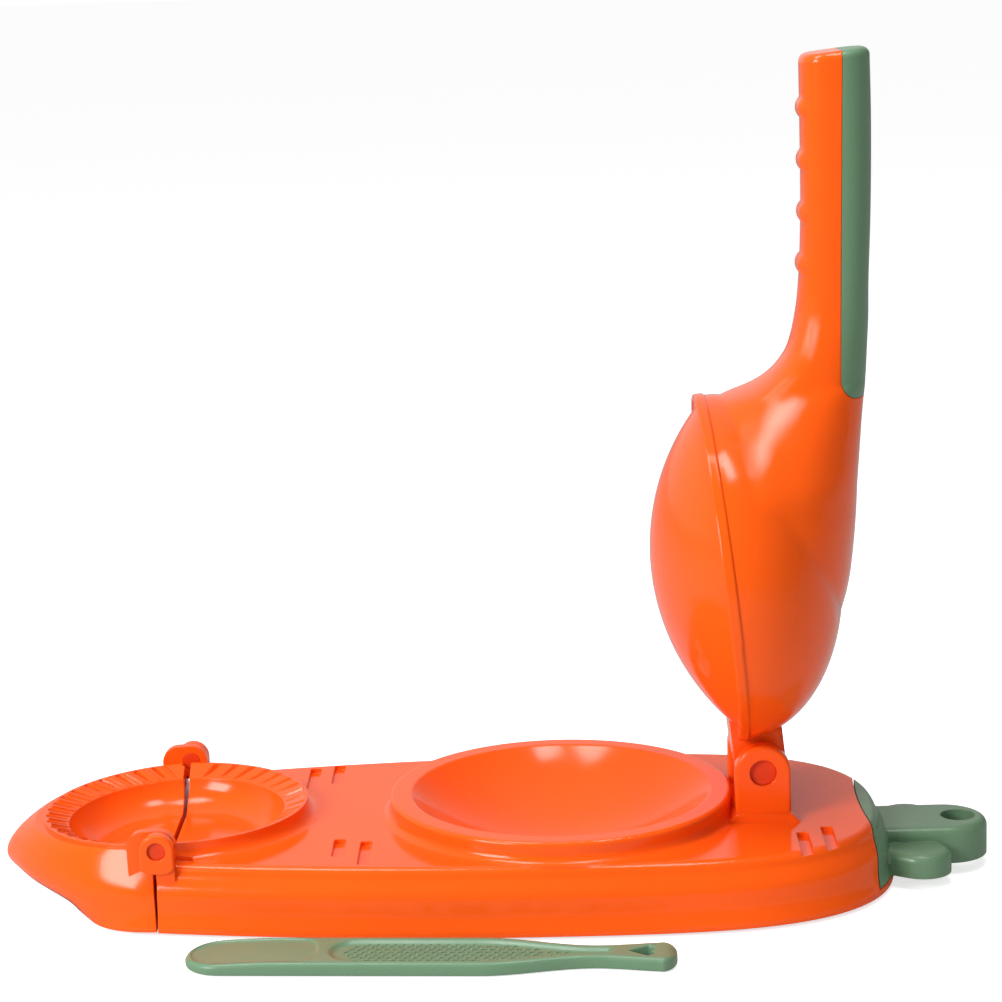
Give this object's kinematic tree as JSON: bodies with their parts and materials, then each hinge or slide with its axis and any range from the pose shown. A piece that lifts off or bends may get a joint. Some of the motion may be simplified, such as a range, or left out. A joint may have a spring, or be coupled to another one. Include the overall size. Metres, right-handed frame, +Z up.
{
  "type": "dumpling maker",
  "caption": "Carrot-shaped plastic dumpling maker: long base with a pressing bowl and a folding crimping mould, a hinged press with a long handle, a leaf-shaped hanging end and a filling spoon.",
  "frame": {"origin": "on the table under the middle of the pressing bowl, at the underside of the centre foot", "axes": "+X along the base from the flap towards the leaf, +Y away from the viewer of the picture, +Z up"},
  "size_m": [0.357, 0.1751, 0.2943],
  "materials": {
    "orange_plastic": "glossy moulded polypropylene",
    "green_plastic": "satin moulded polypropylene",
    "foot_rubber": "soft matt"
  },
  "bodies": {
    "base": {"base_shell": "orange_plastic", "leaf_tail": "green_plastic", "press_hinge_pin": "orange_plastic", "flap_pin_front": "orange_plastic", "flap_pin_back": "orange_plastic", "foot_front_left": "foot_rubber", "foot_back_left": "foot_rubber", "foot_front_right": "foot_rubber", "foot_back_right": "foot_rubber", "foot_centre": "foot_rubber"},
    "flap": {"flap_shell": "orange_plastic"},
    "press": {"press_shell": "orange_plastic", "press_dome": "orange_plastic", "handle_cover": "green_plastic"},
    "spoon": {"filling_spoon": "green_plastic"}
  },
  "joints": [
    {"name": "press_hinge", "type": "hinge", "parent": "base", "child": "press", "pos_m": [0.0718, 0, 0.0413], "axis": [0, -1, 0], "range_deg": [0, 83.8]},
    {"name": "flap_hinge", "type": "hinge", "parent": "base", "child": "flap", "pos_m": [-0.14, 0, 0.03], "axis": [0, 1, 0], "range_deg": [0, 182.5]},
    {"name": "spoon_lift", "type": "slide", "parent": "base", "child": "spoon", "axis": [0, 0, 1], "range_m": [0, 0.12]}
  ]
}
